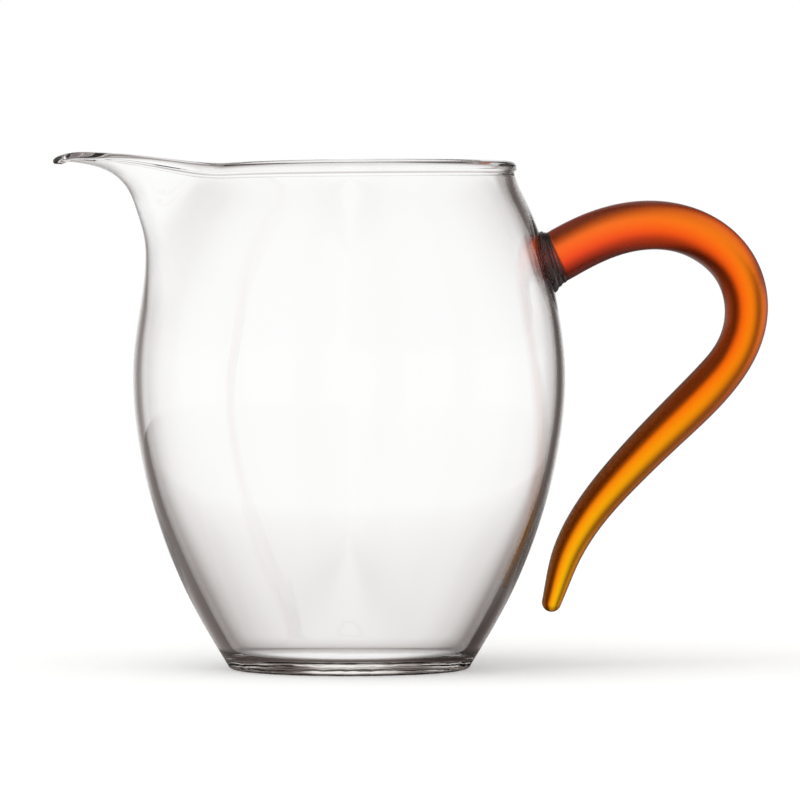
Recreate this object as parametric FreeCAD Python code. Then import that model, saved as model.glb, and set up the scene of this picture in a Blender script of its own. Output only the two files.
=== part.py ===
import FreeCAD, Part
import math
import os

# Tea fairness pitcher: a blown clear glass barrel with a drawn-out pouring lip, and a solid amber glass
# rod bent into an open-ended handle that is welded to the shoulder.
# Millimetres and degrees. +Z is up, the lip points along -X and the handle along +X.
# The origin is the centre of the foot, on the surface that the pitcher stands on.

Vector = FreeCAD.Vector

# Barrel, outside: radius of each station from the heel to the neck, and its rise above the one below
heel_radius, heel_height = 22.45, 0.7
flank_radius, flank_rise = 29.5, 12.2
lower_radius, lower_rise = 35.5, 14.8
waist_radius, waist_rise = 39.05, 14.8
belly_radius, belly_rise = 40.0, 12.8
upper_radius, upper_rise = 38.6, 12.2
shoulder_radius, shoulder_rise = 35.5, 12.7
throat_radius, throat_rise = 32.65, 6.8
neck_radius, neck_rise = 30.75, 4.5

flank_height = heel_height + flank_rise
lower_height = flank_height + lower_rise
waist_height = lower_height + waist_rise
belly_height = waist_height + belly_rise
upper_height = belly_height + upper_rise
shoulder_height = upper_height + shoulder_rise
throat_height = shoulder_height + throat_rise
neck_height = throat_height + neck_rise

# Rim: radius of the wall and rise of the crest above the neck, and the fire-polished bead round it
rim_radius, rim_rise = 30.3, 2.95
rim_height = neck_height + rim_rise
bead_height = 2.3
bead_bulge = 0.5

# Wall, measured square to the glass
foot_wall = 2.25
lower_wall = 1.75
belly_wall = 1.45
upper_wall = 1.3
neck_wall = 1.95
lip_wall = 0.62

# Foot and floor
foot_radius = 20.6
punt_radius = 17.0
punt_depth = 0.8
floor_radius = 16.5
floor_thickness = 2.5
floor_corner_height = 5.0

# Lip: half the angle of wall that it is drawn from, how sharply the pull gathers to its middle, and
# the line of its underside as pairs of distance drawn out from the round wall and depth below the rim
lip_half_angle = 41.0
lip_sharpness = 4
lip_start_above_belly = 9.7
lip_start_height = belly_height + lip_start_above_belly
keel_line = (
    (0.9, 18.7),
    (2.2, 14.9),
    (5.9, 9.3),
    (9.2, 5.6),
    (12.6, 3.0),
    (16.5, 1.3),
    (20.0, 0.6),
    (24.5, 0.35),
)

# Rim line: rise above the level rim at each angle from the front, and where the wall starts to follow it
rim_line = (
    (0.0, 0.0),
    (3.0, 0.45),
    (7.0, 1.05),
    (10.0, 1.2),
    (14.0, 1.0),
    (18.0, 0.55),
    (22.0, 0.0),
    (26.0, -0.4),
    (33.0, -0.65),
    (49.0, -0.5),
    (73.0, -0.2),
    (95.0, -0.05),
    (180.0, -0.2),
)
rise_start_above_shoulder = 3.8
rise_start_height = shoulder_height + rise_start_above_shoulder

# Weld of the handle: its height on the wall, and the lens of thicker glass behind it
weld_above_upper = 8.0
weld_height = upper_height + weld_above_upper
weld_depth = 0.8
lens_thickness = 0.95
lens_half_height = 4.2
lens_half_angle = 7.0

# Handle: the rod's centre line as distances out from the wall at that height and up from the weld, with
# the rod's radius there
root_radius = 4.85
handle_stations = (
    (8.5, 4.0, 4.79),
    (14.8, 6.0, 4.67),
    (20.9, 6.8, 4.55),
    (26.5, 6.1, 4.44),
    (31.05, 3.6, 4.38),
    (34.05, -0.6, 4.23),
    (35.05, -6.1, 4.08),
    (33.95, -12.0, 3.92),
    (31.15, -17.5, 3.87),
    (27.4, -22.2, 4.05),
    (19.7, -30.6, 3.96),
    (12.95, -39.1, 3.60),
    (8.1, -48.3, 3.11),
    (7.05, -54.9, 2.67),
    (7.75, -60.6, 2.10),
    (8.25, -63.1, 1.80),
)

# Tail: the small flat left at the tip of its rounded end
tail_flat = 0.25

# Collar: the flare where the rod is fused on, with its fine rings
collar_flare = 1.0
collar_length = 2.0
collar_rings = 3
ring_depth = 0.14

# Number of sections that the curved forms are drawn through
barrel_sections = 11
lip_sections = 12
rod_sections = 36
sections_per_ring = 4
bead_sections = 6
foot_sections = 3
rod_columns = 12
tail_sections = 4
front_columns = 10
back_columns = 10

# Steps along a curve for measuring its slope and for searching it, as shares of its length
slope_step = 1e-3
search_step = 1e-7


def line_through(pairs):
    """A smooth function through (place, value) pairs."""
    curve = Part.BSplineCurve()
    curve.interpolate(
        Points=[Vector(place, value, 0) for place, value in pairs],
        Parameters=[place for place, value in pairs],
    )
    return lambda place: curve.value(min(max(place, pairs[0][0]), pairs[-1][0])).y


def smooth_step(share):
    """Rises smoothly from 0 to 1 as the share does."""
    share = min(max(share, 0.0), 1.0)
    return share * share * (3.0 - 2.0 * share)


def parameter_at(curve, share):
    """The parameter at this share of the way along a curve."""
    return curve.FirstParameter + share * (curve.LastParameter - curve.FirstParameter)


def at_share(curve, share):
    """The point at this share of the way along a curve."""
    return curve.value(parameter_at(curve, share))


def share_at_height(curve, height):
    """The share of the way along a rising curve at which it passes this height."""
    low, high = 0.0, 1.0
    while high - low > search_step:
        middle = (low + high) / 2
        if at_share(curve, middle).z < height:
            low = middle
        else:
            high = middle
    return low


class Barrel:
    """The blown wall: a round barrel whose front is drawn out to the keel of the lip."""

    def __init__(self):
        self.meridian = self.make_meridian()
        self.lip_start = share_at_height(self.meridian, lip_start_height)
        self.rise_start = share_at_height(self.meridian, rise_start_height)
        self.bead_start = share_at_height(self.meridian, rim_height - bead_height)
        self.floor_start = share_at_height(self.meridian, floor_corner_height)
        self.keel = self.make_keel()
        self.rise = line_through([(-angle, rise) for angle, rise in reversed(rim_line[1:])] + list(rim_line))
        self.thickness = line_through((
            (heel_height, foot_wall),
            (flank_height, foot_wall),
            (lower_height, lower_wall),
            (belly_height, belly_wall),
            (upper_height, upper_wall),
            (neck_height, neck_wall),
            (rim_height, neck_wall),
        ))

    def make_meridian(self):
        """The round wall's outside from the heel to the rim, in the XZ plane."""
        curve = Part.BSplineCurve()
        curve.interpolate(Points=[
            Vector(heel_radius, 0, heel_height),
            Vector(flank_radius, 0, flank_height),
            Vector(lower_radius, 0, lower_height),
            Vector(waist_radius, 0, waist_height),
            Vector(belly_radius, 0, belly_height),
            Vector(upper_radius, 0, upper_height),
            Vector(shoulder_radius, 0, shoulder_height),
            Vector(throat_radius, 0, throat_height),
            Vector(neck_radius, 0, neck_height),
            Vector(rim_radius, 0, rim_height),
        ])
        return curve

    def radius_at(self, height):
        """The round wall's outer radius at this height."""
        return at_share(self.meridian, share_at_height(self.meridian, height)).x

    def make_keel(self):
        """The lip's underside in the XZ plane, leaving the round wall in line with it."""
        start = parameter_at(self.meridian, self.lip_start)
        points = [self.meridian.value(start)]
        for drawn_out, depth in keel_line:
            height = rim_height - depth
            points.append(Vector(self.radius_at(height) + drawn_out, 0, height))
        curve = Part.BSplineCurve()
        curve.interpolate(
            Points=points,
            InitialTangent=self.meridian.tangent(start)[0],
            FinalTangent=Vector(1, 0, 0),
        )
        return curve

    def gather(self, angle):
        """How far the wall at this angle from the front follows the lip, from 0 to 1."""
        if abs(angle) >= lip_half_angle:
            return 0.0
        return math.cos(math.radians(90 * angle / lip_half_angle)) ** lip_sharpness

    def outside(self, share, angle):
        """The outer surface at a share of the meridian and an angle from the front."""
        round_point = at_share(self.meridian, share)
        pull = Vector(0, 0, 0)
        if share > self.lip_start:
            drawn = (share - self.lip_start) / (1 - self.lip_start)
            pull = (at_share(self.keel, drawn) - round_point) * self.gather(angle)
        rise = self.rise(angle) * smooth_step((share - self.rise_start) / (1 - self.rise_start))
        turn = math.radians(angle)
        return Vector(
            -round_point.x * math.cos(turn) - pull.x,
            round_point.x * math.sin(turn),
            round_point.z + pull.z + rise,
        )

    def outward(self, share, angle):
        """The unit direction square to the outer surface."""
        share = min(max(share, slope_step), 1 - slope_step)
        along = self.outside(share + slope_step, angle) - self.outside(share - slope_step, angle)
        across = self.outside(share, angle + 1) - self.outside(share, angle - 1)
        return along.cross(across).normalize()

    def wall(self, share, angle):
        """The wall's thickness, thin where it is drawn out and thick behind the weld."""
        height = at_share(self.meridian, share).z
        drawn = smooth_step(2 * (share - self.lip_start) / (1 - self.lip_start)) * self.gather(angle)
        lens_up = (height - weld_height) / lens_half_height
        lens_round = (180 - abs(angle)) / lens_half_angle
        lens = lens_thickness * math.exp(-lens_up * lens_up - lens_round * lens_round)
        return self.thickness(height) * (1 - drawn) + lip_wall * drawn + lens

    def inside(self, share, angle):
        """The inner surface, one wall thickness in from the outer one."""
        return self.outside(share, angle) - self.outward(share, angle) * self.wall(share, angle)

    def bead(self, angle):
        """The points over the rim at this angle, from the outer wall to the inner one."""
        base = self.outside(self.bead_start, angle)
        rising = self.outside(1, angle) - base
        height = rising.Length
        rising.normalize()
        out = self.outward(self.bead_start, angle)
        wall = self.wall(self.bead_start, angle)
        middle = (bead_bulge - wall) / 2
        half = (bead_bulge + wall) / 2
        straight = height - half
        points = [base + rising * (straight / 2) + out * bead_bulge]
        for step in range(bead_sections + 1):
            turn = math.pi * step / bead_sections
            away = middle + half * math.cos(turn)
            points.append(base + rising * (straight + half * math.sin(turn)) + out * away)
        return points

    def foot_corner(self, angle):
        """The points round the corner under the heel, from the flat of the foot outwards."""
        turn = math.radians(angle)
        points = []
        for step in range(foot_sections):
            lean = math.radians(90 * step / foot_sections)
            radius = foot_radius + (heel_radius - foot_radius) * math.sin(lean)
            height = heel_height * (1 - math.cos(lean))
            points.append(Vector(-radius * math.cos(turn), radius * math.sin(turn), height))
        return points

    def floor_corner(self, angle):
        """The points round the inside corner, from the wall to the edge of the flat floor."""
        start = self.inside(self.floor_start, angle)
        above = self.inside(self.floor_start + slope_step, angle)
        fall = (start.z - floor_thickness) / (above.z - start.z)
        corner = start - (above - start) * fall
        turn = math.radians(angle)
        end = Vector(-floor_radius * math.cos(turn), floor_radius * math.sin(turn), floor_thickness)
        points = []
        for step in range(1, foot_sections + 1):
            share = step / foot_sections
            points.append(start * (1 - share) ** 2 + corner * (2 * share * (1 - share)) + end * share ** 2)
        return points

    def column(self, angle):
        """The points up the outside, over the rim and down the inside at one angle from the front."""
        lower = [self.lip_start * step / barrel_sections for step in range(barrel_sections)]
        rest = self.bead_start - self.lip_start
        upper = [self.lip_start + rest * step / lip_sections for step in range(lip_sections + 1)]
        climb = lower + upper
        descent = [share for share in reversed(climb) if share > self.floor_start] + [self.floor_start]
        points = self.foot_corner(angle)
        points += [self.outside(share, angle) for share in climb]
        points += self.bead(angle)
        points += [self.inside(share, angle) for share in descent]
        points += self.floor_corner(angle)
        return points


def column_angles():
    """The angles that the sections are drawn through, from the back round to it again, close at the lip."""
    front = [lip_half_angle * step / front_columns for step in range(front_columns)]
    side = [lip_half_angle + (180 - lip_half_angle) * step / back_columns for step in range(back_columns)]
    half = front + side
    return [-180] + [-angle for angle in reversed(half[1:])] + half


def closed_section(points, places):
    """A closed smooth curve through the points, one at each place."""
    curve = Part.BSplineCurve()
    curve.interpolate(Points=points, PeriodicFlag=True, Parameters=places)
    return curve


def run_of(columns):
    """The mean distance along the columns to each of their points."""
    run = [0.0]
    for step in range(1, len(columns[0])):
        gaps = [(column[step] - column[step - 1]).Length for column in columns]
        run.append(run[-1] + sum(gaps) / len(gaps))
    return run


def skinned_solid(columns, places):
    """A solid with one smooth skin through columns of points, closed round them and flat at both ends."""
    run = run_of(columns)
    sections = [closed_section(list(points), places) for points in zip(*columns)]
    lines = []
    for poles in zip(*[section.getPoles() for section in sections]):
        line = Part.BSplineCurve()
        line.interpolate(Points=list(poles), Parameters=run)
        lines.append(line)
    across, along = sections[0], lines[0]
    surface = Part.BSplineSurface()
    surface.buildFromPolesMultsKnots(
        [line.getPoles() for line in lines],
        across.getMultiplicities(),
        along.getMultiplicities(),
        across.getKnots(),
        along.getKnots(),
        True,
        False,
        across.Degree,
        along.Degree,
    )
    ends = [Part.Face(Part.Wire([section.toShape()])) for section in (sections[0], sections[-1])]
    shell = Part.makeShell([surface.toShape()] + ends)
    shell.sewShape()
    solid = Part.makeSolid(shell)
    if solid.Volume < 0:
        solid.reverse()
    return solid


def glass_body(barrel):
    """The clear barrel, as one skin from the foot over the rim to the floor, with the punt pressed in."""
    angles = column_angles()
    blown = skinned_solid([barrel.column(angle) for angle in angles], angles + [180])
    dome_radius = (punt_radius ** 2 + punt_depth ** 2) / (2 * punt_depth)
    punt = Part.makeSphere(dome_radius, Vector(0, 0, punt_depth - dome_radius))
    return blown.cut(punt)


def rod_line(barrel):
    """The handle's centre line and radius, as a curve of (x, z, radius)."""
    points = [Vector(barrel.radius_at(weld_height), weld_height, root_radius)]
    for away, up, radius in handle_stations:
        height = weld_height + up
        points.append(Vector(barrel.radius_at(height) + away, height, radius))
    curve = Part.BSplineCurve()
    curve.interpolate(Points=points)
    return curve


def collar_swell(distance):
    """How much wider than the rod the collar is at this distance from the wall."""
    left = 1 - max(distance, 0) / collar_length
    if left <= 0:
        return 0.0
    ripple = ring_depth * (1 - math.cos(2 * math.pi * collar_rings * left)) / 2
    return collar_flare * left * left + ripple


def rod_distances(length):
    """The distances along the rod of its sections: inside the wall, over the collar and to the tail."""
    collar_steps = collar_rings * sections_per_ring
    collar = [collar_length * step / collar_steps for step in range(collar_steps)]
    free = length - collar_length
    rod = [collar_length + free * step / rod_sections for step in range(rod_sections + 1)]
    return [-weld_depth] + collar + rod


def round_section(centre, normal, radius):
    """The points of a round section of the rod, square to its normal."""
    aside = Vector(0, radius, 0)
    up = normal.cross(aside)
    turns = [2 * math.pi * step / rod_columns for step in range(rod_columns)]
    return [centre + aside * math.cos(turn) + up * math.sin(turn) for turn in turns]


def amber_handle(barrel, body):
    """The amber rod, from its ringed collar on the wall to its rounded tail."""
    line = rod_line(barrel)
    at_weld = share_at_height(barrel.meridian, weld_height)
    slope = barrel.meridian.tangent(parameter_at(barrel.meridian, at_weld))[0]
    square_to_wall = Vector(slope.z, 0, -slope.x)
    sections = []
    for distance in rod_distances(line.length()):
        at = line.parameterAtDistance(max(distance, 0), line.FirstParameter)
        here = line.value(at)
        heading = line.tangent(at)[0]
        along = Vector(heading.x, 0, heading.y).normalize()
        blend = smooth_step(distance / (2 * collar_length))
        normal = (square_to_wall * (1 - blend) + along * blend).normalize()
        centre = Vector(here.x, 0, here.y) + along * min(distance, 0)
        sections.append(round_section(centre, normal, here.z + collar_swell(distance)))
    for step in range(1, tail_sections + 1):
        lean = math.acos(tail_flat / here.z) * step / tail_sections
        end = centre + along * here.z * math.sin(lean)
        sections.append(round_section(end, along, here.z * math.cos(lean)))
    places = [step / rod_columns for step in range(rod_columns + 1)]
    rod = skinned_solid([list(column) for column in zip(*sections)], places)
    return rod.cut(body)


def main():
    """Builds the pitcher and writes one file for each piece."""
    os.makedirs("parts", exist_ok=True)
    barrel = Barrel()
    body = glass_body(barrel)
    handle = amber_handle(barrel, body)
    body.exportStep("parts/glass_body.step")
    handle.exportStep("parts/amber_handle.step")
    for name, piece in (("glass_body", body), ("amber_handle", handle)):
        box = piece.BoundBox
        counts = (len(piece.Solids), "solid", len(piece.Faces), "faces", piece.isValid())
        print(name, *counts, round(piece.Volume, 1))
        print([round(value, 2) for value in (box.XMin, box.XMax, box.YMin, box.YMax, box.ZMin, box.ZMax)])


main()
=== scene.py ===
"""Looks of a tea fairness pitcher: a blown clear glass barrel with a drawn lip and a frosted amber handle."""

import logging
import math
from dataclasses import dataclass
from enum import Enum
from typing import Any

import bpy
import numpy as np
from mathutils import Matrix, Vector

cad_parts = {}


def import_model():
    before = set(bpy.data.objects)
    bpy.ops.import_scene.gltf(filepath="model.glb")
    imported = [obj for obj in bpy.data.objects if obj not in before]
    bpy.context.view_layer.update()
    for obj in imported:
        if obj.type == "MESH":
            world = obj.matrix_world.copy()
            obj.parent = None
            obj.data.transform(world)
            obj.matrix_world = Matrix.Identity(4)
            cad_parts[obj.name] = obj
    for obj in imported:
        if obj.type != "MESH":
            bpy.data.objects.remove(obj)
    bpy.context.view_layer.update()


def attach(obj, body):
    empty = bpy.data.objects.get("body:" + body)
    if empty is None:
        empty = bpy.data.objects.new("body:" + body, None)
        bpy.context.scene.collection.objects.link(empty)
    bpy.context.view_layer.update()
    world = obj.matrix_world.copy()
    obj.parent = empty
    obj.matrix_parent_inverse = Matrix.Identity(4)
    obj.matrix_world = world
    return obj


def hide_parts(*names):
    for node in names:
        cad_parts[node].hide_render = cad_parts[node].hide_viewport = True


log = logging.getLogger("pitcher")

MM = 0.001
SLOPE_STEP = 1e-3
ALONG = "along"
OUTER = "outer"

Colour = tuple[float, float, float, float]
Points = tuple[tuple[float, float], ...]
Stops = tuple[tuple[float, str], ...]
Socket = bpy.types.NodeSocket
Tree = bpy.types.NodeTree


class Sum(Enum):
    """The sums that the materials work out, under Blender's names."""

    ARC = "ARCTAN2"
    COSINE = "COSINE"
    DIVIDE = "DIVIDE"
    HIGHER = "MAXIMUM"
    LOWER = "MINIMUM"
    POWER = "POWER"
    SCALE_AND_SHIFT = "MULTIPLY_ADD"
    SUBTRACT = "SUBTRACT"
    TIMES = "MULTIPLY"


def linear(code: str) -> Colour:
    """Turns an sRGB hex colour into linear light.

    Args:
        code: the colour as "#RRGGBB".

    Returns:
        Red, green, blue and an alpha of 1.
    """
    parts = [int(code[place : place + 2], 16) / 255 for place in (1, 3, 5)]
    red, green, blue = (
        part / 12.92 if part <= 0.04045 else ((part + 0.055) / 1.055) ** 2.4 for part in parts
    )
    return red, green, blue, 1.0


def grey(tone: float) -> Colour:
    """Gives the colour of a tone in linear light."""
    return tone, tone, tone, 1.0


def in_light(stops: Stops) -> list[tuple[float, Colour]]:
    """Turns the hex colours of a ramp's stops into linear light."""
    return [(place, linear(code)) for place, code in stops]


def add_node(
    tree: Tree, kind: str, inputs: dict[str | int, Any] | None = None, **settings: Any
) -> bpy.types.Node:
    """Adds a node with its settings and links.

    Args:
        tree: the node tree that it goes into.
        kind: the node's type.
        inputs: for each input, by name or number, its value or the output that feeds it.
        settings: the node's own settings.

    Returns:
        The node.
    """
    made = tree.nodes.new(kind)
    for name, value in settings.items():
        setattr(made, name, value)
    for key, value in (inputs or {}).items():
        if isinstance(value, Socket):
            tree.links.new(value, made.inputs[key])
        else:
            made.inputs[key].default_value = value
    return made


def add_ramp(tree: Tree, source: Socket, stops: list[tuple[float, Colour]]) -> Socket:
    """Adds a smooth colour ramp.

    Args:
        tree: the node tree that it goes into.
        source: the output that drives it, from 0 to 1.
        stops: the place and colour of each stop.

    Returns:
        The ramp's colour output.
    """
    made = add_node(tree, "ShaderNodeValToRGB", {"Fac": source})
    ramp = made.color_ramp
    while len(ramp.elements) < len(stops):
        ramp.elements.new(1.0)
    for element, (place, colour) in zip(ramp.elements, stops):
        element.position = place
        element.color = colour
    return made.outputs["Color"]


def above(tree: Tree, value: Socket, low: float, high: float) -> Socket:
    """Rises smoothly from 0 to 1 as a value goes from low to high.

    Args:
        tree: the node tree.
        value: the output that holds the value.
        low: where the rise starts.
        high: where it ends.

    Returns:
        The output that holds the share.
    """
    made = add_node(
        tree,
        "ShaderNodeMapRange",
        {"Value": value, "From Min": low, "From Max": high},
        interpolation_type="SMOOTHSTEP",
    )
    return made.outputs["Result"]


def calculate(tree: Tree, operation: Sum, *values: float | Socket) -> Socket:
    """Works out one sum.

    Args:
        tree: the node tree.
        operation: the sum.
        values: its numbers, or the outputs that hold them.

    Returns:
        The output that holds the result.
    """
    made = add_node(tree, "ShaderNodeMath", dict(enumerate(values)), operation=operation.value)
    return made.outputs["Value"]


def tell_rays(tree: Tree) -> tuple[Socket, Socket]:
    """Tells the camera's rays, and those that glass has bent or reflected, from all others.

    Args:
        tree: the node tree.

    Returns:
        The output that is 1 for the camera's rays, and the one that is 1 for the glass's rays.
    """
    path = add_node(tree, "ShaderNodeLightPath").outputs
    glass = calculate(tree, Sum.HIGHER, path["Is Glossy Ray"], path["Is Transmission Ray"])
    return path["Is Camera Ray"], glass


def painted_light_across(tree: Tree, stops: Stops) -> Socket:
    """Paints light and shade across the rod, by where a point lies between the inside and the outside of the
    bend.

    Args:
        tree: the node tree.
        stops: the colours, from -1 on the inside of the bend to 1 on the outside.

    Returns:
        The output that holds the colour.
    """
    outer = add_node(tree, "ShaderNodeAttribute", attribute_name=OUTER).outputs["Fac"]
    share = calculate(tree, Sum.SCALE_AND_SHIFT, outer, 0.5, 0.5)
    return add_ramp(tree, share, [((place + 1) / 2, colour) for place, colour in in_light(stops)])


def new_material(name: str) -> tuple[bpy.types.Material, Tree]:
    """Makes an empty node material.

    Args:
        name: its name.

    Returns:
        The material and its node tree.
    """
    material = bpy.data.materials.new(name)
    material.use_nodes = True
    material.node_tree.nodes.clear()
    return material, material.node_tree


@dataclass(frozen=True)
class BlownBorosilicate:
    """Clear borosilicate glass, blown and fire-polished. Only its depth has a tint, a faint warm grey."""

    ior: float = 1.473
    roughness: float = 0.0
    tint: str = "#FFFFFF"
    depth_tint: str = "#EDE6DC"
    depth_density: float = 12.0
    wave_size: float = 26.0 * MM
    wave_height: float = 0.012 * MM
    wave_roughness: float = 0.4
    tool_mark_size: float = 3.2 * MM
    tool_mark_height: float = 0.1 * MM
    tool_marks_below: tuple[float, float] = (1.6 * MM, 2.8 * MM)

    def material(self) -> bpy.types.Material:
        """Makes the material. Fire polishing leaves no roughness, and blowing leaves slow faint waves.

        The foot was pressed flat on a tool, whose marks break up the light in the thick base.

        Returns:
            The material.
        """
        material, tree = new_material("blown_borosilicate_glass")
        place = add_node(tree, "ShaderNodeTexCoord").outputs["Object"]
        waves = add_node(
            tree,
            "ShaderNodeTexNoise",
            {"Vector": place, "Scale": 1 / self.wave_size, "Detail": 1.0, "Roughness": self.wave_roughness},
        )
        bump = add_node(
            tree,
            "ShaderNodeBump",
            {"Height": waves.outputs["Fac"], "Strength": 1.0, "Distance": self.wave_height},
        )
        marks = add_node(
            tree,
            "ShaderNodeTexNoise",
            {"Vector": place, "Scale": 1 / self.tool_mark_size, "Detail": 1.0},
        )
        height = add_node(tree, "ShaderNodeSeparateXYZ", {"Vector": place}).outputs["Z"]
        clear = above(tree, height, *self.tool_marks_below)
        bump = add_node(
            tree,
            "ShaderNodeBump",
            {
                "Height": marks.outputs["Fac"],
                "Strength": calculate(tree, Sum.SUBTRACT, 1.0, clear),
                "Distance": self.tool_mark_height,
                "Normal": bump.outputs["Normal"],
            },
        )
        glass = add_node(
            tree,
            "ShaderNodeBsdfPrincipled",
            {
                "Base Color": linear(self.tint),
                "Roughness": self.roughness,
                "IOR": self.ior,
                "Transmission Weight": 1.0,
                "Normal": bump.outputs["Normal"],
            },
        )
        depth = add_node(
            tree,
            "ShaderNodeVolumeAbsorption",
            {"Color": linear(self.depth_tint), "Density": self.depth_density},
        )
        add_node(
            tree,
            "ShaderNodeOutputMaterial",
            {"Surface": glass.outputs["BSDF"], "Volume": depth.outputs["Volume"]},
        )
        return material


@dataclass(frozen=True)
class FrostedAmber:
    """Amber glass rod, acid-frosted to a satin surface.

    Its colour is the product of three ramps: along the rod, from red at the root to yellow at the tail;
    across it, from the inside of the bend to the outside, painted shade deep on the inside and a painted
    glow just outside the middle; and from the eye's view to edge on, painted shade on the edges.
    """

    ior: float = 1.473
    roughness: float = 0.26
    sheen_tint: str = "#FFA03F"
    grain_size: float = 0.35 * MM
    grain_height: float = 0.001 * MM
    along: Stops = (
        (0.0, "#FF7030"),
        (0.1, "#FF7A2C"),
        (0.2, "#FF7E20"),
        (0.3, "#FF8218"),
        (0.4, "#FF8810"),
        (0.5, "#FF8E0C"),
        (0.6, "#FF9A0A"),
        (0.7, "#FFA80A"),
        (0.8, "#FFB00A"),
        (0.9, "#FFBC0A"),
        (1.0, "#FFC80C"),
    )
    # Painted shade across the rod: deep and red on the inside of the bend, a painted glow just outside the
    # middle, a little shade at the outer edge.
    across: Stops = (
        (-1.0, "#5059FF"),
        (-0.8, "#7C61F0"),
        (-0.6, "#B470E0"),
        (-0.4, "#DA84D8"),
        (-0.2, "#F9A8CC"),
        (0.0, "#FFD4D4"),
        (0.2, "#FFF3E0"),
        (0.4, "#FFFAFF"),
        (0.6, "#FFE8FF"),
        (0.8, "#FFCCFF"),
        (1.0, "#FFB4FF"),
    )
    # Painted shade that darkens the rod's edges, from the eye's view to edge on.
    painted_edge_shade: Stops = (
        (0.3, "#FFFFFF"),
        (0.5, "#E0C8C0"),
        (0.7, "#A88C84"),
        (0.9, "#705048"),
    )

    def material(self) -> bpy.types.Material:
        """Makes the material. Frosting softens the rod's highlights; the rod's glow and dark edges come
        partly from its rough transmission and partly from painted light and shade in its colour.

        Returns:
            The material.
        """
        material, tree = new_material("acid_frosted_amber_glass")
        share = add_node(tree, "ShaderNodeAttribute", attribute_name=ALONG).outputs["Fac"]
        turned = add_node(tree, "ShaderNodeLayerWeight", {"Blend": 0.5}).outputs["Facing"]
        colour = add_ramp(tree, share, in_light(self.along))
        # Painted light and shade: the ramp across the rod and the edge ramp multiply into its colour.
        for shade in (painted_light_across(tree, self.across), add_ramp(tree, turned, in_light(self.painted_edge_shade))):
            colour = add_node(
                tree,
                "ShaderNodeMix",
                {0: 1.0, 6: colour, 7: shade},
                data_type="RGBA",
                blend_type="MULTIPLY",
            ).outputs[2]
        place = add_node(tree, "ShaderNodeTexCoord").outputs["Object"]
        grain = add_node(
            tree,
            "ShaderNodeTexNoise",
            {"Vector": place, "Scale": 1 / self.grain_size, "Detail": 2.0},
        )
        bump = add_node(
            tree,
            "ShaderNodeBump",
            {"Height": grain.outputs["Fac"], "Strength": 1.0, "Distance": self.grain_height},
        )
        glass = add_node(
            tree,
            "ShaderNodeBsdfPrincipled",
            {
                "Base Color": colour,
                "Roughness": self.roughness,
                "IOR": self.ior,
                "Transmission Weight": 1.0,
                "Specular Tint": linear(self.sheen_tint),
                "Normal": bump.outputs["Normal"],
            },
        )
        add_node(tree, "ShaderNodeOutputMaterial", {"Surface": glass.outputs["BSDF"]})
        return material


@dataclass(frozen=True)
class FlamePolishedAmber:
    """The collar, where the flame melted the frosting away and left glossy amber glass, coloured with painted
    shade and a painted red glow.
    """

    ior: float = 1.473
    roughness: float = 0.16
    # Painted shade across the collar: near black at the sides, with a painted red glow just outside the
    # middle.
    across: Stops = (
        (-0.7, "#180A08"),
        (-0.2, "#38100A"),
        (0.15, "#7A2414"),
        (0.5, "#38100A"),
        (0.8, "#180A08"),
    )

    def material(self) -> bpy.types.Material:
        """Makes the material. Its colour is painted shade, so little light passes it: it is nearly black,
        with a painted red glow in the middle, and lit rings.

        Returns:
            The material.
        """
        material, tree = new_material("flame_polished_amber_glass")
        # The base colour is painted shade with a painted red glow, from the ramp across the collar.
        glass = add_node(
            tree,
            "ShaderNodeBsdfPrincipled",
            {
                "Base Color": painted_light_across(tree, self.across),
                "Roughness": self.roughness,
                "IOR": self.ior,
                "Transmission Weight": 1.0,
            },
        )
        add_node(tree, "ShaderNodeOutputMaterial", {"Surface": glass.outputs["BSDF"]})
        return material


class SmoothLine:
    """A cubic line with no kink through values or points at rising places."""

    def __init__(self, places: Any, values: Any, start: Any = None, end: Any = None) -> None:
        """Works out the line's slope at each place.

        Args:
            places: the places.
            values: the value or point at each place.
            start: the slope at the first place, or None for a free end.
            end: the slope at the last place, or None for a free end.
        """
        self.places = np.asarray(places, float)
        self.values = np.asarray(values, float).reshape(len(self.places), -1)
        count = len(self.places)
        gaps = np.diff(self.places)
        chords = np.diff(self.values, axis=0) / gaps[:, None]
        system = np.zeros((count, count))
        known = np.zeros_like(self.values)
        for at in range(1, count - 1):
            system[at, at - 1 : at + 2] = gaps[at], 2 * (gaps[at - 1] + gaps[at]), gaps[at - 1]
            known[at] = 3 * (gaps[at] * chords[at - 1] + gaps[at - 1] * chords[at])
        for at, beside, chord, slope in ((0, 1, chords[0], start), (count - 1, count - 2, chords[-1], end)):
            if slope is None:
                system[at, at], system[at, beside] = 2, 1
                known[at] = 3 * chord
            else:
                system[at, at] = 1
                known[at] = slope
        self.slopes = np.linalg.solve(system, known)

    def __call__(self, place: Any) -> np.ndarray:
        """Gives the value or point at each place.

        Args:
            place: one place or an array of them.

        Returns:
            An array with one more axis, for the value's parts.
        """
        place = np.clip(np.asarray(place, float), self.places[0], self.places[-1])
        at = np.clip(np.searchsorted(self.places, place, side="right") - 1, 0, len(self.places) - 2)
        gap = (self.places[at + 1] - self.places[at])[..., None]
        t = (place[..., None] - self.places[at][..., None]) / gap
        return (
            self.values[at] * (1 + 2 * t) * (1 - t) ** 2
            + self.slopes[at] * gap * t * (1 - t) ** 2
            + self.values[at + 1] * t * t * (3 - 2 * t)
            + self.slopes[at + 1] * gap * t * t * (t - 1)
        )


def smooth_step(share: np.ndarray) -> np.ndarray:
    """Rises smoothly from 0 to 1 as the share does."""
    share = np.clip(share, 0.0, 1.0)
    return share * share * (3.0 - 2.0 * share)


def unit(vectors: np.ndarray) -> np.ndarray:
    """Gives vectors a length of 1."""
    return vectors / np.linalg.norm(vectors, axis=-1, keepdims=True)


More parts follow.
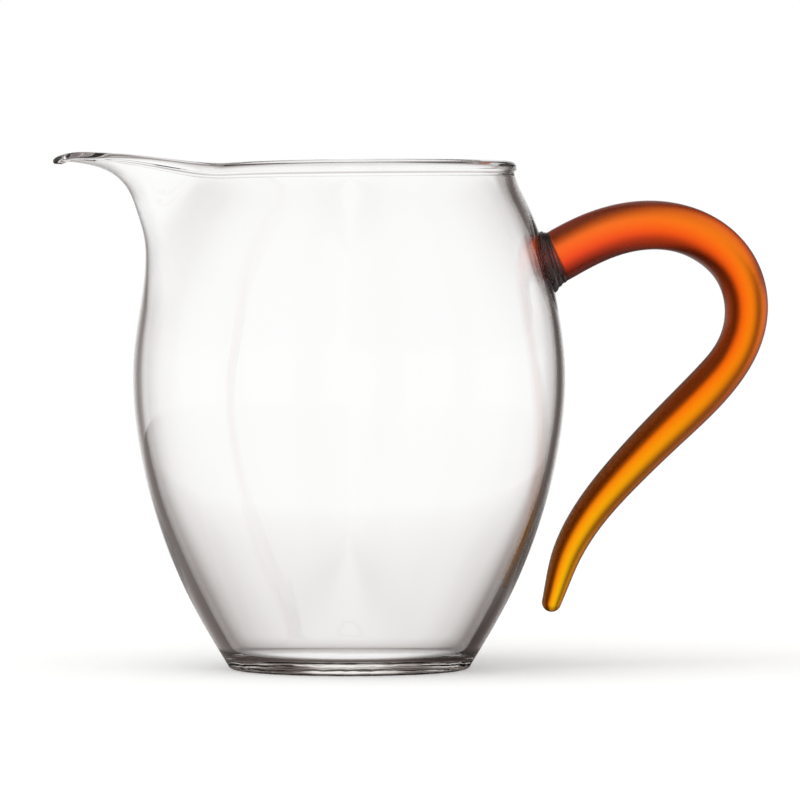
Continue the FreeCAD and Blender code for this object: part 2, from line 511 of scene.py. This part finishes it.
@dataclass
class Barrel:
    """The blown barrel with its drawn lip, its rim bead and its foot, in millimetres and degrees.

    Stations are (radius, height), walls (height, thickness), the keel line (drawn out, depth below the rim)
    and the rim line (angle from the front, rise).
    """

    node: str = "glass_body"
    glass: BlownBorosilicate = BlownBorosilicate()
    stations: Points = (
        (22.45, 0.7),
        (29.5, 12.9),
        (35.5, 27.7),
        (39.05, 42.5),
        (40.0, 55.3),
        (38.6, 67.5),
        (35.5, 80.2),
        (32.65, 87.0),
        (30.75, 91.5),
        (30.3, 94.45),
    )
    walls: Points = (
        (0.7, 2.25),
        (12.9, 2.25),
        (27.7, 1.75),
        (55.3, 1.45),
        (67.5, 1.3),
        (91.5, 1.95),
        (94.45, 1.95),
    )
    bead_height: float = 2.3
    bead_bulge: float = 0.5
    lip_wall: float = 0.62
    lip_half_angle: float = 41.0
    lip_sharpness: int = 4
    lip_start_height: float = 65.0
    keel_line: Points = (
        (0.9, 18.7),
        (2.2, 14.9),
        (5.9, 9.3),
        (9.2, 5.6),
        (12.6, 3.0),
        (16.5, 1.3),
        (20.0, 0.6),
        (24.5, 0.35),
    )
    rim_line: Points = (
        (0.0, 0.0),
        (3.0, 0.45),
        (7.0, 1.05),
        (10.0, 1.1),
        (14.0, 1.0),
        (18.0, 0.55),
        (22.0, 0.0),
        (26.0, -0.4),
        (33.0, -0.65),
        (49.0, -0.5),
        (73.0, -0.2),
        (95.0, -0.05),
        (180.0, -0.2),
    )
    rise_start_height: float = 84.0
    weld_height: float = 75.5
    lens_thickness: float = 0.95
    lens_half_height: float = 4.2
    lens_half_angle: float = 7.0
    foot_radius: float = 20.6
    punt_radius: float = 17.0
    punt_depth: float = 0.8
    floor_radius: float = 20.2
    floor_thickness: float = 3.1
    floor_corner_height: float = 3.9
    line_points: int = 4001
    lip_columns: int = 72
    lip_crowding: float = 1.25
    side_columns: int = 76
    barrel_rows: int = 50
    lip_rows: int = 50
    bead_lead_rows: int = 6
    bead_rows: int = 24
    corner_rows: int = 8
    disc_rows: int = 8

    def __post_init__(self) -> None:
        """Draws the lines that the wall follows."""
        points = np.array(self.stations)
        run = np.concatenate([[0], np.cumsum(np.linalg.norm(np.diff(points, axis=0), axis=1))])
        self.meridian = SmoothLine(run / run[-1], points)
        self.shares = np.linspace(0, 1, self.line_points)
        self.heights = self.meridian(self.shares)[:, 1]
        self.rim_height = points[-1, 1]
        self.lip_start = float(self.share_at(self.lip_start_height))
        self.rise_start = float(self.share_at(self.rise_start_height))
        self.bead_start = float(self.share_at(self.rim_height - self.bead_height))
        self.floor_start = float(self.share_at(self.floor_corner_height))
        self.thickness = SmoothLine(*zip(*self.walls))
        both_sides = [(-angle, rise) for angle, rise in reversed(self.rim_line[1:])] + list(self.rim_line)
        self.rise = SmoothLine(*zip(*both_sides))
        self.keel = self.draw_keel()

    def share_at(self, height: Any) -> np.ndarray:
        """Gives the share of the meridian at which it passes a height."""
        return np.interp(height, self.heights, self.shares)

    def radius_at(self, height: Any) -> np.ndarray:
        """Gives the round wall's outer radius at a height."""
        return self.meridian(self.share_at(height))[..., 0]

    def slope_at(self, height: float) -> np.ndarray:
        """Gives the wall's direction (out, up) at a height."""
        share = float(self.share_at(height))
        return unit(self.meridian(share + SLOPE_STEP) - self.meridian(share - SLOPE_STEP))

    def draw_keel(self) -> SmoothLine:
        """Draws the lip's underside, leaving the round wall in line with it.

        Returns:
            The line of (radius, height).
        """
        start = self.meridian(self.lip_start)
        points = [start]
        for drawn_out, depth in self.keel_line:
            height = self.rim_height - depth
            points.append(self.meridian(self.share_at(height)) + np.array([drawn_out, 0.0]))
        run = np.concatenate([[0], np.cumsum(np.linalg.norm(np.diff(points, axis=0), axis=1))])
        leaving = unit(self.meridian(self.lip_start + SLOPE_STEP) - start)
        return SmoothLine(run / run[-1], points, leaving * run[-1], np.array([run[-1], 0.0]))

    def gather(self, angle: np.ndarray) -> np.ndarray:
        """Gives how far the wall at an angle from the front follows the lip, from 0 to 1."""
        near = np.clip(np.abs(angle) / self.lip_half_angle, 0, 1)
        return np.cos(np.pi / 2 * near) ** self.lip_sharpness

    def outside(self, share: np.ndarray, angle: np.ndarray) -> np.ndarray:
        """Gives points of the outer surface.

        Args:
            share: the shares of the meridian.
            angle: the angles from the front, in degrees.

        Returns:
            The points, in millimetres.
        """
        share, angle = np.broadcast_arrays(share, angle)
        around = self.meridian(share)
        drawn = np.clip((share - self.lip_start) / (1 - self.lip_start), 0, 1)
        pull = (self.keel(drawn) - around) * (self.gather(angle) * (share > self.lip_start))[..., None]
        rise = self.rise(angle)[..., 0] * smooth_step((share - self.rise_start) / (1 - self.rise_start))
        turn = np.radians(angle)
        return np.stack(
            [
                -around[..., 0] * np.cos(turn) - pull[..., 0],
                around[..., 0] * np.sin(turn),
                around[..., 1] + pull[..., 1] + rise,
            ],
            axis=-1,
        )

    def outward(self, share: np.ndarray, angle: np.ndarray) -> np.ndarray:
        """Gives the unit directions square to the outer surface.

        Args:
            share: the shares of the meridian.
            angle: the angles from the front.

        Returns:
            The directions.
        """
        share = np.clip(share, SLOPE_STEP, 1 - SLOPE_STEP)
        along = self.outside(share + SLOPE_STEP, angle) - self.outside(share - SLOPE_STEP, angle)
        across = self.outside(share, angle + 1) - self.outside(share, angle - 1)
        return unit(np.cross(along, across))

    def wall(self, share: np.ndarray, angle: np.ndarray) -> np.ndarray:
        """Gives the wall's thickness, thin where it is drawn out and thick behind the weld.

        Args:
            share: the shares of the meridian.
            angle: the angles from the front.

        Returns:
            The thicknesses.
        """
        share, angle = np.broadcast_arrays(share, angle)
        height = self.meridian(share)[..., 1]
        drawn = smooth_step(2 * (share - self.lip_start) / (1 - self.lip_start)) * self.gather(angle)
        lens_up = (height - self.weld_height) / self.lens_half_height
        lens_round = (180 - np.abs(angle)) / self.lens_half_angle
        lens = self.lens_thickness * np.exp(-lens_up**2 - lens_round**2)
        return self.thickness(height)[..., 0] * (1 - drawn) + self.lip_wall * drawn + lens

    def inside(self, share: np.ndarray, angle: np.ndarray) -> np.ndarray:
        """Gives points of the inner surface, one wall thickness in from the outer one."""
        return self.outside(share, angle) - self.outward(share, angle) * self.wall(share, angle)[..., None]

    def bead(self, angle: np.ndarray) -> np.ndarray:
        """Gives the rows over the rim, from the outer wall to the inner one.

        Args:
            angle: the columns' angles from the front.

        Returns:
            The points by row and column.
        """
        start = np.full_like(angle, self.bead_start)
        base = self.outside(start, angle)
        rising = self.outside(np.ones_like(angle), angle) - base
        height = np.linalg.norm(rising, axis=-1)
        rising = unit(rising)
        out = self.outward(start, angle)
        wall = self.wall(start, angle)
        middle, half = (self.bead_bulge - wall) / 2, (self.bead_bulge + wall) / 2
        straight = height - half
        rows = []
        for step in range(1, self.bead_lead_rows):
            share = step / self.bead_lead_rows
            swell = self.bead_bulge * smooth_step(np.array(2 * share))
            rows.append(base + rising * (straight * share)[..., None] + out * swell)
        for step in range(self.bead_rows + 1):
            turn = math.pi * step / self.bead_rows
            away = middle + half * math.cos(turn)
            rows.append(base + rising * (straight + half * math.sin(turn))[..., None] + out * away[..., None])
        return np.stack(rows)

    def ring(self, radius: float, height: float, angle: np.ndarray) -> np.ndarray:
        """Gives one round row of points."""
        turn = np.radians(angle)
        return np.stack([-radius * np.cos(turn), radius * np.sin(turn), np.full_like(turn, height)], axis=-1)

    def underside(self, angle: np.ndarray) -> np.ndarray:
        """Gives the rows from the middle of the punt over the foot ring to the heel.

        Args:
            angle: the columns' angles from the front.

        Returns:
            The points by row and column.
        """
        dome = (self.punt_radius**2 + self.punt_depth**2) / (2 * self.punt_depth)
        rows = []
        for step in range(1, self.disc_rows + 1):
            radius = self.punt_radius * step / self.disc_rows
            height = self.punt_depth - dome + math.sqrt(dome**2 - radius**2)
            rows.append(self.ring(radius, height, angle))
        rows.append(self.ring((self.punt_radius + self.foot_radius) / 2, 0.0, angle))
        heel_radius, heel_height = self.stations[0]
        for step in range(self.corner_rows):
            lean = math.pi / 2 * step / self.corner_rows
            radius = self.foot_radius + (heel_radius - self.foot_radius) * math.sin(lean)
            rows.append(self.ring(radius, heel_height * (1 - math.cos(lean)), angle))
        return np.stack(rows)

    def floor(self, angle: np.ndarray) -> np.ndarray:
        """Gives the rows round the inside corner and over the floor.

        Args:
            angle: the columns' angles from the front.

        Returns:
            The points by row and column.
        """
        start = self.inside(np.full_like(angle, self.floor_start), angle)
        higher = self.inside(np.full_like(angle, self.floor_start + SLOPE_STEP), angle)
        fall = (start[..., 2:] - self.floor_thickness) / (higher[..., 2:] - start[..., 2:])
        corner = start - (higher - start) * fall
        end = self.ring(self.floor_radius, self.floor_thickness, angle)
        rows = []
        for step in range(1, self.corner_rows + 1):
            share = step / self.corner_rows
            rows.append(start * (1 - share) ** 2 + corner * (2 * share * (1 - share)) + end * share**2)
        for step in range(1, self.disc_rows):
            radius = self.floor_radius * (1 - step / self.disc_rows)
            rows.append(self.ring(radius, self.floor_thickness, angle))
        return np.stack(rows)

    def columns(self) -> np.ndarray:
        """Gives the angles of the columns, close together at the lip.

        Returns:
            The angles from the front, from -180 to 180.
        """
        front = self.lip_half_angle * np.linspace(0, 1, self.lip_columns, endpoint=False) ** self.lip_crowding
        side = np.linspace(self.lip_half_angle, 180, self.side_columns, endpoint=False)
        half = np.concatenate([front, side])
        return np.concatenate([-half[:0:-1], half, [180.0]])

    def build(self) -> bpy.types.Object:
        """Blows the barrel as one closed mesh and dresses it in clear glass.

        Returns:
            The barrel's object.
        """
        angle = self.columns()
        lower = np.linspace(0, self.lip_start, self.barrel_rows, endpoint=False)
        upper = np.linspace(self.lip_start, self.bead_start, self.lip_rows)
        climb = np.concatenate([lower, upper])
        fall = np.concatenate([climb[climb > self.floor_start][::-1], [self.floor_start]])
        rows = np.concatenate(
            [
                self.underside(angle),
                self.outside(climb[:, None], angle[None, :]),
                self.bead(angle),
                self.inside(fall[:, None], angle[None, :]),
                self.floor(angle),
            ]
        )
        ends = ((0.0, 0.0, self.punt_depth), (0.0, 0.0, self.floor_thickness))
        barrel = skinned_object("blown_barrel", rows, ends, self.glass.material())
        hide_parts(self.node)
        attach(barrel, "root")
        return barrel


def skinned_object(
    name: str,
    rows: np.ndarray,
    ends: tuple[tuple[float, float, float], tuple[float, float, float]],
    material: bpy.types.Material,
) -> bpy.types.Object:
    """Makes a closed smooth mesh from round rows of points.

    Args:
        name: the object's name.
        rows: the points by row and column, in millimetres.
        ends: the middle points that close the first and last row.
        material: its material.

    Returns:
        The object.
    """
    count, columns, _ = rows.shape
    points = np.concatenate([rows.reshape(-1, 3), np.array(ends)]) * MM
    at = np.arange(count * columns).reshape(count, columns)
    after = np.roll(at, -1, axis=1)
    quads = np.stack([at[1:], after[1:], after[:-1], at[:-1]], axis=-1).reshape(-1, 4)
    first = [(count * columns, int(at[0, c]), int(after[0, c])) for c in range(columns)]
    last = [(count * columns + 1, int(after[-1, c]), int(at[-1, c])) for c in range(columns)]
    mesh = bpy.data.meshes.new(name)
    mesh.from_pydata(points.tolist(), [], quads.tolist() + first + last)
    mesh.shade_smooth()
    mesh.materials.append(material)
    made = bpy.data.objects.new(name, mesh)
    bpy.context.scene.collection.objects.link(made)
    return made


@dataclass
class Handle:
    """The bent amber rod with its ringed collar, in millimetres.

    Stations are (away from the wall at that height, above the weld, radius).
    """

    node: str = "amber_handle"
    glass: FrostedAmber = FrostedAmber()
    collar_glass: FlamePolishedAmber = FlamePolishedAmber()
    weld_height: float = 75.5
    root_radius: float = 4.85
    stations: tuple[tuple[float, float, float], ...] = (
        (8.5, 4.0, 4.79),
        (14.8, 6.0, 4.67),
        (20.9, 6.8, 4.55),
        (26.5, 6.1, 4.44),
        (31.05, 3.6, 4.38),
        (34.05, -0.6, 4.23),
        (35.05, -6.1, 4.08),
        (33.95, -12.0, 3.92),
        (31.15, -17.5, 3.87),
        (27.4, -22.2, 4.05),
        (19.7, -30.6, 3.96),
        (12.95, -39.1, 3.60),
        (8.1, -48.3, 3.11),
        (7.05, -54.9, 2.67),
        (7.75, -60.6, 2.10),
        (8.25, -63.1, 1.80),
    )
    collar_flare: float = 1.0
    collar_length: float = 2.0
    collar_rings: int = 3
    ring_depth: float = 0.14
    fused: float = 0.06
    tail_flat: float = 0.25
    heading_step: float = 0.01
    seat_tries: int = 12
    around: int = 64
    collar_rows: int = 36
    rod_rows: int = 260
    tail_rows: int = 12

    def draw_line(self, barrel: Barrel) -> SmoothLine:
        """Draws the rod's centre line.

        Args:
            barrel: the barrel that the rod is welded to.

        Returns:
            The line of (x, height, radius), by the distance along it.
        """
        points = [(barrel.radius_at(self.weld_height), self.weld_height, self.root_radius)]
        for away, up, radius in self.stations:
            height = self.weld_height + up
            points.append((barrel.radius_at(height) + away, height, radius))
        run = np.concatenate([[0], np.cumsum(np.linalg.norm(np.diff(points, axis=0), axis=1))])
        return SmoothLine(run, points)

    def swell(self, distance: float) -> float:
        """Gives how much wider than the rod the collar is.

        Args:
            distance: the distance from the wall.

        Returns:
            The width to add to the radius.
        """
        left = max(1 - distance / self.collar_length, 0.0)
        ripple = self.ring_depth * (1 - math.cos(2 * math.pi * self.collar_rings * left)) / 2
        return self.collar_flare * left * left + ripple if left else 0.0

    def turns(self) -> np.ndarray:
        """Gives the angles round a row, from the rod's side over the inside of its bend."""
        return np.linspace(2 * math.pi, 0, self.around, endpoint=False)

    def section(self, centre: np.ndarray, normal: np.ndarray, radius: float) -> np.ndarray:
        """Gives one round row of the rod.

        Args:
            centre: its middle point.
            normal: the direction that it is square to.
            radius: its radius.

        Returns:
            The points.
        """
        turn = self.turns()[:, None]
        aside = np.array([0.0, 1.0, 0.0])
        return centre + radius * (aside * np.cos(turn) + np.cross(normal, aside) * np.sin(turn))

    def seat(self, row: np.ndarray, along: np.ndarray, barrel: Barrel) -> np.ndarray:
        """Runs a row back along the rod until it is fused into the barrel's wall.

        Args:
            row: the points at the collar's foot.
            along: the rod's direction there.
            barrel: the barrel.

        Returns:
            The points just inside the wall.
        """
        back = np.zeros(len(row))
        for _ in range(self.seat_tries):
            at = row - along * back[:, None]
            back += (np.hypot(at[:, 0], at[:, 1]) - barrel.radius_at(at[:, 2])) * along[0]
        return row - along * (back + self.fused)[:, None]

    def heading(self, line: SmoothLine, distance: float) -> np.ndarray:
        """Gives the rod's direction at a distance along it."""
        ahead = line(distance + self.heading_step) - line(distance - self.heading_step)
        return unit(np.array([ahead[0], 0.0, ahead[1]]))

    def bend(self, line: SmoothLine, reach: np.ndarray, barrel: Barrel) -> list[np.ndarray]:
        """Gives the rows of the collar and the rod, which start square to the wall.

        Args:
            line: the rod's centre line.
            reach: the distances along it at which the rows stand.
            barrel: the barrel that the rod is welded to.

        Returns:
            The rows.
        """
        leaving = barrel.slope_at(self.weld_height)
        square = np.array([leaving[1], 0.0, -leaving[0]])
        rows = []
        for distance in reach:
            x, height, radius = line(distance)
            blend = smooth_step(distance / (2 * self.collar_length))
            normal = unit(square * (1 - blend) + self.heading(line, distance) * blend)
            rows.append(self.section(np.array([x, 0.0, height]), normal, radius + self.swell(distance)))
        return rows

    def round_off(self, line: SmoothLine) -> tuple[list[np.ndarray], np.ndarray]:
        """Rounds off the tail, down to a small flat.

        Args:
            line: the rod's centre line.

        Returns:
            The rows, and the middle point of the flat.
        """
        x, height, radius = line(line.places[-1])
        centre = np.array([x, 0.0, height])
        along = self.heading(line, line.places[-1])
        rows = []
        for step in range(1, self.tail_rows + 1):
            lean = math.acos(self.tail_flat / radius) * step / self.tail_rows
            middle = centre + along * radius * math.sin(lean)
            rows.append(self.section(middle, along, radius * math.cos(lean)))
        return rows, middle

    def mark(self, handle: bpy.types.Object, shares: np.ndarray) -> None:
        """Marks the collar's faces, and gives each point its place along the rod and round its bend.

        Args:
            handle: the rod's object.
            shares: each row's share of the rod's length.
        """
        for face in handle.data.polygons:
            face.material_index = int(min(face.vertices) // self.around < self.collar_rows)
        along = np.concatenate([np.repeat(shares, self.around), [0.0, 1.0]])
        outer = np.concatenate([np.tile(np.sin(self.turns()), len(shares)), [0.0, 0.0]])
        for name, values in ((ALONG, along), (OUTER, outer)):
            handle.data.attributes.new(name, "FLOAT", "POINT").data.foreach_set("value", values)

    def build(self, barrel: Barrel) -> bpy.types.Object:
        """Bends the rod as one closed mesh, frosts it and polishes its collar.

        Args:
            barrel: the barrel that it is welded to.

        Returns:
            The rod's object.
        """
        line = self.draw_line(barrel)
        length = line.places[-1]
        collar = np.linspace(0, self.collar_length, self.collar_rows, endpoint=False)
        reach = np.concatenate([collar, np.linspace(self.collar_length, length, self.rod_rows)])
        rows = self.bend(line, reach, barrel)
        x, height, _ = line(0.0)
        start = self.heading(line, 0.0)
        root = self.seat(np.array([[x, 0.0, height]]), start, barrel)[0]
        rows.insert(0, self.seat(rows[0], start, barrel))
        tail, tip = self.round_off(line)
        ends = (tuple(root), tuple(tip))
        handle = skinned_object("bent_amber_rod", np.stack(rows + tail), ends, self.glass.material())
        handle.data.materials.append(self.collar_glass.material())
        self.mark(handle, np.concatenate([[0.0], reach / length, np.ones(self.tail_rows)]))
        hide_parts(self.node)
        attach(handle, "root")
        return handle


@dataclass(frozen=True)
class Surround:
    """White panels all round the table, and a dark screen behind on each side.

    The screens draw the dark edges of the glass. They are (angle from straight behind, tone), and the
    angle grows to the right.
    """

    panels: int = 8
    gap_tone: float = 0.88
    gap_edge: float = 0.2
    warm_red: float = 0.92
    warm_blue: float = 1.03
    screens: Points = (
        (-75, 1.0),
        (-50, 0.9),
        (-38, 0.84),
        (-31, 0.52),
        (-26, 0.22),
        (-22, 0.22),
        (-18, 0.38),
        (-14, 0.65),
        (-10, 0.87),
        (-5, 1.0),
        (6, 1.0),
        (10, 0.9),
        (14, 0.44),
        (18, 0.1),
        (24, 0.08),
        (30, 0.18),
        (37, 0.4),
        (46, 0.62),
        (57, 0.75),
        (75, 0.88),
        (110, 1.0),
    )

    def tone(self, tree: Tree, direction: Socket) -> Socket:
        """Gives the tone of panels and screens in a direction.

        Args:
            tree: the node tree.
            direction: the output that holds the direction from the middle of the table.

        Returns:
            The output that holds the tone.
        """
        split = add_node(tree, "ShaderNodeSeparateXYZ", {"Vector": direction}).outputs
        turn = calculate(tree, Sum.ARC, split["X"], split["Y"])
        beat = calculate(tree, Sum.COSINE, calculate(tree, Sum.TIMES, turn, float(self.panels)))
        gaps = add_node(
            tree,
            "ShaderNodeMapRange",
            {
                "Value": beat,
                "From Min": -1.0,
                "From Max": self.gap_edge,
                "To Min": self.gap_tone,
                "To Max": 1.0,
            },
            interpolation_type="SMOOTHSTEP",
        ).outputs["Result"]
        share = add_node(
            tree, "ShaderNodeMapRange", {"Value": turn, "From Min": -math.pi, "From Max": math.pi}
        ).outputs["Result"]
        stops = [((angle + 180) / 360, grey(tone)) for angle, tone in self.screens]
        return calculate(tree, Sum.LOWER, gaps, add_ramp(tree, share, stops))

    def warmed(self, tree: Tree, tone: Socket) -> Socket:
        """Gives a tone's colour: white stays white, and the darker it is, the warmer.

        Args:
            tree: the node tree.
            tone: the output that holds the tone.

        Returns:
            The output that holds the colour.
        """
        red = calculate(tree, Sum.POWER, tone, self.warm_red)
        blue = calculate(tree, Sum.POWER, tone, self.warm_blue)
        made = add_node(tree, "ShaderNodeCombineColor", {"Red": red, "Green": tone, "Blue": blue})
        return made.outputs["Color"]


@dataclass
class Table:
    """The pale round table top that the pitcher stands on.

    The painted reflection and shadow is (distance from the middle in millimetres, tone), the tone that glass
    shows of the top: a painted reflection, bright under the punt and darker towards the pitcher, with a
    painted shadow round the foot ring. The apex is how far in front of the middle the screens' painted dark
    reflections on the top meet.
    """

    radius: float = 400 * MM
    thickness: float = 12 * MM
    sides: int = 96
    paint: str = "#F4F4F3"
    paint_roughness: float = 0.5
    glow: float = 0.2
    apex: float = 63 * MM
    # Painted reflection and painted shadow: the tone glass sees of the top; the dark ring from 17.5 to 23 mm
    # is a painted shadow round the foot.
    painted_reflection_and_shadow: Points = (
        (0.0, 0.95),
        (15.5, 0.95),
        (17.5, 0.1),
        (23.0, 0.1),
        (27.0, 0.6),
        (38.0, 0.72),
        (65.0, 0.83),
        (110.0, 0.86),
        (190.0, 0.88),
        (320.0, 0.95),
        (400.0, 1.0),
    )
    # The painted dark reflections of the screens on the top, seen only by glass.
    surround: Surround = Surround(
        screens=(
            (-80, 0.82),
            (-60, 0.74),
            (-46, 0.58),
            (-39, 0.28),
            (-33, 0.18),
            (-25, 0.17),
            (-20, 0.34),
            (-16, 0.62),
            (-12, 0.86),
            (-7, 1.0),
            (7, 1.0),
            (11, 0.88),
            (14, 0.6),
            (17, 0.34),
            (20, 0.14),
            (25, 0.07),
            (30, 0.15),
            (36, 0.32),
            (42, 0.48),
            (50, 0.62),
            (65, 0.76),
            (90, 0.86),
            (140, 0.98),
        )
    )

    def material(self) -> bpy.types.Material:
        """Makes matt white paint that reads as the white background wherever no shadow falls. To glass, the
        top shows painted light instead: it glows with painted reflections and a painted shadow.

        Returns:
            The material.
        """
        material, tree = new_material("matt_white_paint")
        place = add_node(tree, "ShaderNodeTexCoord").outputs["Object"]
        camera, glass = tell_rays(tree)
        matt = add_node(
            tree,
            "ShaderNodeBsdfDiffuse",
            {"Color": linear(self.paint), "Roughness": self.paint_roughness},
        )
        glow = calculate(tree, Sum.TIMES, camera, self.glow)
        lift = add_node(tree, "ShaderNodeEmission", {"Color": linear(self.paint), "Strength": glow})
        paint = add_node(tree, "ShaderNodeAddShader", {0: matt.outputs["BSDF"], 1: lift.outputs["Emission"]})
        # To glass the top glows with painted light: painted reflections of panels and screens, times the
        # painted reflection and shadow ramp.
        away = add_node(tree, "ShaderNodeVectorMath", {0: place}, operation="LENGTH").outputs["Value"]
        share = calculate(tree, Sum.DIVIDE, away, self.radius)
        stops = [(reach * MM / self.radius, grey(tone)) for reach, tone in self.painted_reflection_and_shadow]
        from_apex = add_node(
            tree, "ShaderNodeVectorMath", {0: place, 1: (0.0, self.apex, 0.0)}, operation="ADD"
        ).outputs["Vector"]
        tone = calculate(tree, Sum.TIMES, self.surround.tone(tree, from_apex), add_ramp(tree, share, stops))
        shown = add_node(tree, "ShaderNodeEmission", {"Color": self.surround.warmed(tree, tone)})
        both = add_node(tree, "ShaderNodeMixShader", {0: glass, 1: paint.outputs[0], 2: shown.outputs[0]})
        add_node(tree, "ShaderNodeOutputMaterial", {"Surface": both.outputs["Shader"]})
        return material

    def build(self) -> bpy.types.Object:
        """Makes the table top.

        Returns:
            The table's object.
        """
        turns = [2 * math.pi * step / self.sides for step in range(self.sides)]
        ring = [(self.radius * math.cos(turn), self.radius * math.sin(turn)) for turn in turns]
        corners = [(x, y, 0.0) for x, y in ring] + [(x, y, -self.thickness) for x, y in ring]
        faces: list[list[int]] = [list(range(self.sides)), list(reversed(range(self.sides, 2 * self.sides)))]
        for step in range(self.sides):
            after = (step + 1) % self.sides
            faces.append([step, step + self.sides, after + self.sides, after])
        mesh = bpy.data.meshes.new("table")
        mesh.from_pydata(corners, [], faces)
        mesh.materials.append(self.material())
        table = bpy.data.objects.new("table", mesh)
        bpy.context.scene.collection.objects.link(table)
        return table


@dataclass
class Studio:
    """The ring of white panels round the table, the soft lamp over it and the camera."""

    fill: float = 0.78
    ceiling_tone: float = 0.5
    ceiling_start: float = 0.12
    ceiling_end: float = 0.45
    behind_start: float = -0.3
    behind_end: float = 0.4
    lamp_power: float = 7.6
    lamp_place: tuple[float, float, float] = (-0.5, -0.4, 1.5)
    lamp_size: float = 1.6
    camera_place: tuple[float, float, float] = (9.4 * MM, -1680 * MM, 109 * MM)
    camera_aim: tuple[float, float, float] = (9.4 * MM, 0, 49.9 * MM)
    view_width: float = 148.2 * MM
    surround: Surround = Surround()

    def hang_panels(self) -> None:
        """Makes the world: white to the camera, and to glass the panels and screens under a grey ceiling."""
        scene = bpy.context.scene
        world = bpy.data.worlds.new("white_panels")
        scene.world = world
        world.use_nodes = True
        tree = world.node_tree
        tree.nodes.clear()
        towards = add_node(tree, "ShaderNodeTexCoord").outputs["Generated"]
        split = add_node(tree, "ShaderNodeSeparateXYZ", {"Vector": towards}).outputs
        overhead = above(tree, split["Z"], self.ceiling_start, self.ceiling_end)
        behind = above(tree, split["Y"], self.behind_start, self.behind_end)
        shade = calculate(tree, Sum.TIMES, overhead, behind)
        shade = calculate(tree, Sum.TIMES, shade, 1 - self.ceiling_tone)
        ceiling = calculate(tree, Sum.SUBTRACT, 1.0, shade)
        tone = calculate(tree, Sum.TIMES, self.surround.tone(tree, towards), ceiling)
        camera, glass = tell_rays(tree)
        shown = add_node(
            tree,
            "ShaderNodeMix",
            {0: glass, 6: grey(self.fill), 7: self.surround.warmed(tree, tone)},
            data_type="RGBA",
        )
        seen = add_node(
            tree, "ShaderNodeMix", {0: camera, 6: shown.outputs[2], 7: grey(1.0)}, data_type="RGBA"
        )
        light = add_node(tree, "ShaderNodeBackground", {"Color": seen.outputs[2]})
        add_node(tree, "ShaderNodeOutputWorld", {"Surface": light.outputs[0]})

    def hang_lamp(self) -> bpy.types.Object:
        """Hangs the soft lamp over the table.

        Returns:
            The lamp's object.
        """
        light = bpy.data.lights.new("soft_lamp", "AREA")
        light.shape = "DISK"
        light.size = self.lamp_size
        light.energy = self.lamp_power
        lamp = bpy.data.objects.new("soft_lamp", light)
        lamp.location = self.lamp_place
        lamp.visible_glossy = False
        lamp.visible_transmission = False
        lamp.rotation_euler = (-Vector(self.lamp_place)).to_track_quat("-Z", "Y").to_euler()
        bpy.context.scene.collection.objects.link(lamp)
        return lamp

    def place_camera(self) -> bpy.types.Object:
        """Stands the camera at the photograph's height and distance.

        Returns:
            The camera's object.
        """
        lens = bpy.data.cameras.new("camera")
        away = Vector(self.camera_aim) - Vector(self.camera_place)
        lens.lens = lens.sensor_width * away.length / self.view_width
        camera = bpy.data.objects.new("camera", lens)
        camera.location = self.camera_place
        camera.rotation_euler = away.to_track_quat("-Z", "Y").to_euler()
        bpy.context.scene.collection.objects.link(camera)
        bpy.context.scene.camera = camera
        return camera


def main() -> None:
    """Builds and dresses the pitcher, and sets it in the studio."""
    logging.basicConfig(level=logging.INFO, format="%(message)s")
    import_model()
    bpy.context.scene.view_settings.view_transform = "Standard"
    barrel = Barrel()
    for piece in (barrel.build(), Handle().build(barrel), Table().build()):
        log.info("made %s", piece.name)
    studio = Studio()
    studio.hang_panels()
    studio.hang_lamp()
    studio.place_camera()


if __name__ == "__main__":
    main()
